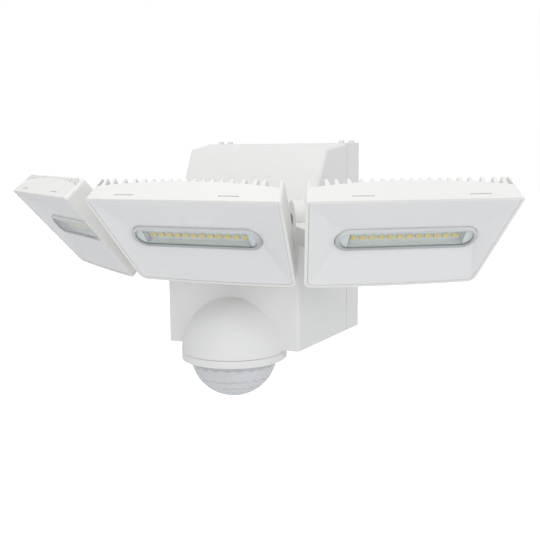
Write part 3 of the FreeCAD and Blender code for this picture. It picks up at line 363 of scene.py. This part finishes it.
def box_in(axes, node_name):
    """Lowest and highest corner of a node, measured along a head's own directions."""
    places = [axes.inverted() @ vertex.co for vertex in nodes[node_name].data.vertices]
    low = Vector([min(place[i] for place in places) for i in range(3)])
    high = Vector([max(place[i] for place in places) for i in range(3)])
    return low, high


def opening(axes, name):
    """Corners of a window's box, and half the length and the end radius of the hole it fills."""
    low, high = box_in(axes, name + "_lens")
    margin = window_flange + window_play
    return low, high, (high.x - low.x) / 2 - margin, (high.z - low.z) / 2 - margin


def on_face(axes, low, high):
    """The place in the middle of a box's front, turned as the head is."""
    return axes @ Matrix.Translation(((low.x + high.x) / 2, low.y, (low.z + high.z) / 2))


def round_end(end, half_length, radius, steps):
    """Points round one half-circle end of a long slot."""
    points = []
    for step in range(steps + 1):
        turn = math.pi * (step / steps - 0.5)
        points.append((end * (half_length - radius + radius * math.cos(turn)), end * radius * math.sin(turn)))
    return points


def slot_loop(build, half_length, radius, depth, lift=0.0, steps=14):
    """A loop of points round a long slot with round ends, at one depth."""
    points = round_end(1, half_length, radius, steps) + round_end(-1, half_length, radius, steps)
    return [build.verts.new((x, depth, z + lift)) for x, z in points]


def skin(build, loops, material_index=0):
    """Faces between each loop of points and the next."""
    for outer, inner in zip(loops, loops[1:]):
        for i in range(len(outer)):
            after = (i + 1) % len(outer)
            face = build.faces.new((outer[i], outer[after], inner[after], inner[i]))
            face.material_index = material_index
            face.smooth = True


def finish_mesh(name, build, finishes, place, body, sharp_deg=35.0):
    """Turns what was built into an object with its materials that moves with a body."""
    bmesh.ops.recalc_face_normals(build, faces=build.faces)
    mesh = bpy.data.meshes.new(name)
    build.to_mesh(mesh)
    build.free()
    for finish in finishes:
        mesh.materials.append(finish.material)
    mesh.shade_smooth()
    mesh.set_sharp_from_angle(angle=math.radians(sharp_deg))
    made = bpy.data.objects.new(name, mesh)
    made.matrix_world = place
    bpy.context.collection.objects.link(made)
    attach(made, body)
    return made


window_clear = grained(
    "window_clear", scale=300.0, detail=2.0, dark=(0.74, 0.78, 0.80), light=(0.80, 0.84, 0.86),
    roughness=0.03, spread=0.03, IOR=1.49,
)
edge_on = window_clear.node("ShaderNodeLayerWeight", {}, {"Blend": 0.5}, "Facing")
gloss = window_clear.maths("POWER", edge_on, pane_gloss_power) + pane_least_gloss
through = window_clear.node("ShaderNodeBsdfTransparent", {}, {"Color": (0.97, 0.985, 0.985, 1)})
window_clear.show(window_clear.node(
    "ShaderNodeMixShader", {}, {0: gloss, 1: through, 2: window_clear.surface()},
))

# The rim's colour is painted light and shade: grey along the bottom and lighter towards the top, where light
# falls on its rounded edge.
rim_clear = Finish("rim_clear", IOR=1.49, Coat_Weight=0.5, Coat_Roughness=0.06)
height = rim_clear.node("ShaderNodeSeparateXYZ", {}, {"Vector": rim_clear.place()}, "Z")
rim_painted_light = rim_clear.node(
    "ShaderNodeMath", {"operation": "MULTIPLY", "use_clamp": True},
    {0: height + rim_painted_shade_below, 1: rim_painted_light_climb},
)
rim_clear.color(rim_painted_light, (0.45, 0.475, 0.485), (0.68, 0.695, 0.69))
rim_cloud = rim_clear.noise(240.0, 2.0)
rim_clear.roughness(0.16 + rim_cloud * 0.08)

for name in heads:
    axes = head_axes(name)
    low, high, half_length, radius = opening(axes, name)
    depth = high.y - low.y
    outside = [(-window_flange, depth), (-window_flange, depth - flange_thickness)]
    outside += [(0, depth - flange_thickness), (0, rim_edge)]
    for step in range(1, rim_edge_steps):
        turn = math.pi / 2 * step / rim_edge_steps
        outside.append((rim_edge * (1 - math.cos(turn)), rim_edge * (1 - math.sin(turn))))
    outside.append((rim_edge, 0))
    back = pane_step + pane_thickness
    inside = [(rim_wall, back + pane_seat), (rim_wall, depth)]
    pane_half = half_length - rim_width
    pane_radius = radius - (rim_width + rim_top_width) / 2
    lift = (rim_width - rim_top_width) / 2
    build = bmesh.new()
    outer_loops = [slot_loop(build, half_length - inset, radius - inset, y) for inset, y in outside]
    for grow, y in (*pane_step_corner, (0, pane_step)):
        outer_loops.append(slot_loop(build, pane_half + grow, pane_radius + grow, y, lift))
    inner_loops = [slot_loop(build, pane_half, pane_radius, back, lift)]
    inner_loops += [slot_loop(build, half_length - inset, radius - inset, y) for inset, y in inside]
    skin(build, outer_loops, 1)
    skin(build, inner_loops + outer_loops[:1], 1)
    build.faces.new(outer_loops[-1])
    build.faces.new(inner_loops[0])
    place = on_face(axes, low, high)
    window = finish_mesh(name + "_window", build, [window_clear, rim_clear], place, name + "_head")
    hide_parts(name + "_lens")


# ---- Strip holders
# Behind the pane a light grey moulded frame holds the strip of chips down. It shows as a round
# end at the left and right of the row, with a narrow bar above and below the chips.
holder_inset = 0.0017
holder_play = 0.0001
slot_half_length = 0.0392
slot_above = 0.0051
slot_below = 0.0062
holder_end_steps = 18


def prism(build, outline, front, back, material_index=0):
    """A straight-sided block from an outline of points, between two depths."""
    near = [build.verts.new((x, front, z)) for x, z in outline]
    far = [build.verts.new((x, back, z)) for x, z in outline]
    faces = [build.faces.new(near), build.faces.new(far)]
    for i in range(len(near)):
        after = (i + 1) % len(near)
        faces.append(build.faces.new((near[i], near[after], far[after], far[i])))
    for face in faces:
        face.material_index = material_index


def rectangle(left, right, low, high):
    """Corners of an upright rectangle on the head's face."""
    return [(left, low), (right, low), (right, high), (left, high)]


holder_grey = grained(
    "holder_grey", scale=160.0, detail=2.0, dark=(0.80, 0.82, 0.83), light=(0.85, 0.87, 0.88),
    roughness=0.35, spread=0.1, IOR=1.5,
)

for name in heads:
    axes = head_axes(name)
    low, high, half_length, radius = opening(axes, name)
    half_length -= holder_inset
    radius -= holder_inset
    front = pane_step + pane_thickness + holder_play
    back = box_in(axes, name + "_led_board")[0].y - low.y
    build = bmesh.new()
    for end in (1, -1):
        outline = [(end * slot_half_length, -end * radius)]
        outline += round_end(end, half_length, radius, holder_end_steps)
        outline.append((end * slot_half_length, end * radius))
        prism(build, outline, front, back)
    prism(build, rectangle(-slot_half_length, slot_half_length, slot_above, radius), front, back)
    prism(build, rectangle(-slot_half_length, slot_half_length, -radius, -slot_below), front, back)
    place = on_face(axes, low, high)
    holder = finish_mesh(name + "_strip_holder", build, [holder_grey], place, name + "_head")


# ---- Light-emitting chips
# Twelve chips stand in a row on a white solder mask over an aluminium board. Each is a small white
# package filled with yellow phosphor and soldered at its two sides.
chip_count = 12
chip_width = 0.0039
phosphor_width = 0.0036
phosphor_rise = 0.00015
solder_reach = 0.0006
solder_height = 0.0024
solder_front = 0.6

board_white = grained(
    "board_white", scale=500.0, detail=2.0, dark=(0.82, 0.82, 0.79), light=(0.88, 0.88, 0.85),
    roughness=0.30, spread=0.1, IOR=1.5,
)

chip_white = grained(
    "chip_white", scale=900.0, detail=2.0, dark=(0.84, 0.84, 0.80), light=(0.90, 0.90, 0.86),
    roughness=0.32, spread=0.1, IOR=1.5,
)

chip_yellow = grained(
    "chip_yellow", scale=3500.0, detail=2.0, dark=(0.96, 0.72, 0.20), light=(1.0, 0.79, 0.30),
    roughness=0.35, spread=0.15, IOR=1.45,
)

for name in heads:
    axes = head_axes(name)
    low, high = box_in(axes, name + "_leds")
    pitch = (high.x - low.x - chip_width) / (chip_count - 1)
    depth = high.y - low.y
    build = bmesh.new()
    for i in range(chip_count):
        x = pitch * (i - (chip_count - 1) / 2)
        package = rectangle(x - chip_width / 2, x + chip_width / 2, -chip_width / 2, chip_width / 2)
        prism(build, package, phosphor_rise, depth, 0)
        half = phosphor_width / 2
        prism(build, rectangle(x - half, x + half, -half, half), 0, phosphor_rise, 1)
        for side in (-1, 1):
            edge = x + side * chip_width / 2
            left, right = sorted((edge, edge + side * solder_reach))
            solder = rectangle(left, right, -solder_height / 2, solder_height / 2)
            prism(build, solder, depth * solder_front, depth, 2)
    place = on_face(axes, low, high)
    chips = finish_mesh(name + "_chips", build, [chip_white, chip_yellow, zinc], place, name + "_head")
    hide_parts(name + "_leds")
    wear([name + "_led_board"], board_white)


# ---- Motion sensor
# The hood is screwed to the cover from inside. Under it a ring turns by hand with its small lug
# and carries the board with the heat sensor and the light sensor.
wear(["sensor_hood", "sensor_ring"], shell_white)
soften(["sensor_hood", "sensor_ring"], mould_radius)

can_steel = grained(
    "can_steel", scale=1800.0, detail=3.0, dark=(0.42, 0.40, 0.36), light=(0.56, 0.54, 0.49),
    roughness=0.25, spread=0.15, Metallic=1.0,
)
wear(["pyro_sensor"], can_steel)

resin_amber = grained(
    "resin_amber", scale=900.0, detail=2.0, dark=(0.32, 0.12, 0.04), light=(0.45, 0.18, 0.06),
    roughness=0.2, spread=0.1, IOR=1.5,
)
wear(["photocell"], resin_amber)


# ---- Sensor dome
# The milky dome is moulded with rows of small lens facets. Each row's lower edge is a chain of
# arcs, and a plain collar runs round the top, where the dome's flange lies on the ring's lip.
dome_radius = 0.0316
dome_wall = 0.0009
flange_rise = 0.0012
row_edges_deg = (35.0, 47.0, 60.0, 78.5)
facets_in_row = 22
arc_drop_deg = 2.8
groove_width = 0.00045
groove_depth = 0.0004
side_groove_share = 0.35
shaded_groove_share = 0.6
columns_per_facet = 12
columns = facets_in_row * columns_per_facet
bands = 84
bands_per_inner_loop = 4
dome_sharp_deg = 50.0
inner_radius = dome_radius - dome_wall

dome_milky = grained(
    "dome_milky", scale=200.0, detail=2.0, dark=(0.65, 0.66, 0.68), light=(0.70, 0.71, 0.73),
    roughness=0.26, spread=0.1, IOR=1.5, Subsurface_Weight=0.1, Subsurface_Scale=0.002,
)

# The darker grey below is painted shade: it marks the collar under the ring's lip and the deepest parts of
# the grooves.
dome_painted_shade = grained(
    "dome_painted_shade", scale=200.0, detail=2.0, dark=(0.51, 0.52, 0.545), light=(0.56, 0.57, 0.595),
    roughness=0.22, spread=0.1, IOR=1.5,
)

low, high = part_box("sensor_lens")
middle_x = (low[0] + high[0]) / 2
middle_y = (low[1] + high[1]) / 2
middle_z = low[2] + dome_radius
flange_radius = (high[0] - low[0]) / 2
flange_top = high[2] - middle_z


def across_facet(turn):
    """How far a place lies from its facet's sides, from 0 at a side to 1 in the middle."""
    return abs(math.sin(facets_in_row * turn / 2))


def facet_groove(fall, turn):
    """Depth of the moulded groove at one place, by its fall from the pole and its turn."""
    across = across_facet(turn)
    depth = 0.0
    for row_edge_deg in row_edges_deg:
        edge = math.radians(row_edge_deg - arc_drop_deg * across)
        gap = dome_radius * (fall - edge)
        depth += groove_depth * math.exp(-((gap / groove_width) ** 2))
    side_gap = dome_radius * math.sin(fall) * math.asin(across) * 2 / facets_in_row
    if fall > math.radians(row_edges_deg[1]):
        depth += side_groove_share * groove_depth * math.exp(-((side_gap / groove_width) ** 2))
    return depth


def round_loop(build, radius, height):
    """A level loop of points round the dome's middle line."""
    loop = []
    for column in range(columns):
        turn = 2 * math.pi * column / columns
        loop.append(build.verts.new((radius * math.cos(turn), radius * math.sin(turn), height)))
    return loop


build = bmesh.new()
pole = build.verts.new((0, 0, -dome_radius))
loops = []
for band in range(1, bands + 1):
    fall = math.pi / 2 * band / bands
    loop = []
    for column in range(columns):
        turn = 2 * math.pi * column / columns
        radius = dome_radius - facet_groove(fall, turn)
        flat = radius * math.sin(fall)
        loop.append(build.verts.new((flat * math.cos(turn), flat * math.sin(turn), -radius * math.cos(fall))))
    loops.append(loop)
loops.append(round_loop(build, dome_radius, flange_top - flange_rise))
loops.append(round_loop(build, flange_radius, flange_top - flange_rise))
loops.append(round_loop(build, flange_radius, flange_top))
loops.append(round_loop(build, inner_radius, flange_top))
for band in range(bands, 0, -bands_per_inner_loop):
    fall = math.pi / 2 * band / bands
    loops.append(round_loop(build, inner_radius * math.sin(fall), -inner_radius * math.cos(fall)))
skin(build, loops)
# Faces of the collar and of the deepest grooves take the darker grey, as painted shade under the ring's lip
# and in the grooves.
for face in build.faces:
    place = face.calc_center_median()
    fall = math.atan2(math.hypot(place.x, place.y), -place.z)
    turn = math.atan2(place.y, place.x)
    collar = fall > math.radians(row_edges_deg[-1] - arc_drop_deg * across_facet(turn))
    if collar or facet_groove(fall, turn) > shaded_groove_share * groove_depth:
        face.material_index = 1
for column in range(columns):
    after = (column + 1) % columns
    build.faces.new((pole, loops[0][after], loops[0][column])).smooth = True
build.faces.new(loops[-1])
dome_place = Matrix.Translation((middle_x, middle_y, middle_z))
dome = finish_mesh("sensor_dome", build, [dome_milky, dome_painted_shade], dome_place, "sensor", dome_sharp_deg)
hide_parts("sensor_lens")


# ---- Studio
# A pale floor lies well below the light. One soft lamp hangs above, two stand in front and one at
# the right, and only the camera, reflections and clear parts see the white surround at full strength.
plain_sky = ((0.97, 0.98, 1.0, 1), 0.62)
bright_sky = ((1, 1, 1, 1), 1.0)
lamp_size = 1.2
floor_half_width = 12
floor_height = -0.65
floor_glow = 0.8

world = bpy.data.worlds.new("studio")
world.use_nodes = True
bpy.context.scene.world = world
sky = world.node_tree
ray_kinds = sky.nodes.new("ShaderNodeLightPath")
sees_bright = ray_kinds.outputs["Is Camera Ray"]
for ray_kind in ("Is Transmission Ray", "Is Glossy Ray"):
    either = sky.nodes.new("ShaderNodeMath")
    either.operation = "MAXIMUM"
    sky.links.new(sees_bright, either.inputs[0])
    sky.links.new(ray_kinds.outputs[ray_kind], either.inputs[1])
    sees_bright = either.outputs[0]
mixed = sky.nodes.new("ShaderNodeMixShader")
sky.links.new(sees_bright, mixed.inputs["Fac"])
for socket, (tint, strength) in enumerate((plain_sky, bright_sky), 1):
    surround = sky.nodes.new("ShaderNodeBackground")
    surround.inputs["Color"].default_value = tint
    surround.inputs["Strength"].default_value = strength
    sky.links.new(surround.outputs[0], mixed.inputs[socket])
sky.links.new(mixed.outputs[0], sky.nodes["World Output"].inputs["Surface"])


def soft_lamp(name, place, target, power, tint):
    """A round lamp with a soft edge to its shadows, aimed at a point and not seen itself."""
    data = bpy.data.lights.new(name, "AREA")
    data.shape = "DISK"
    data.size = lamp_size
    data.energy = power
    data.color = tint
    lamp = bpy.data.objects.new(name, data)
    lamp.location = place
    lamp.rotation_euler = (Vector(target) - Vector(place)).to_track_quat("-Z", "Y").to_euler()
    lamp.visible_camera = False
    bpy.context.collection.objects.link(lamp)


soft_lamp("overhead", (-0.25, -0.55, 1.5), (0, -0.08, 0), 7.6, (1.0, 0.985, 0.95))
soft_lamp("front_right", (1.1, -1.5, 1.0), (0, -0.1, 0), 3.4, (1.0, 0.99, 0.98))
soft_lamp("front_low", (0.2, -1.9, 0.1), (0, -0.1, 0), 3.6, (0.98, 0.99, 1.0))
soft_lamp("right_side", (1.9, -0.4, 0.3), (0, -0.1, 0), 4.2, (0.98, 0.99, 1.0))

floor_paint = Finish("floor_paint", Base_Color=(0.9, 0.9, 0.9, 1), Roughness=0.9)
to_camera = floor_paint.node("ShaderNodeLightPath", {}, {}, "Is Camera Ray")
glow = floor_paint.node("ShaderNodeEmission", {}, {"Strength": to_camera * floor_glow})
floor_paint.show(floor_paint.node("ShaderNodeAddShader", {}, {0: floor_paint.surface(), 1: glow}))
floor_mesh = bpy.data.meshes.new("floor")
floor_build = bmesh.new()
bmesh.ops.create_grid(floor_build, x_segments=2, y_segments=2, size=floor_half_width)
floor_build.to_mesh(floor_mesh)
floor_build.free()
floor_mesh.materials.append(floor_paint.material)
floor = bpy.data.objects.new("floor", floor_mesh)
floor.location = (0, 0, floor_height)
bpy.context.collection.objects.link(floor)
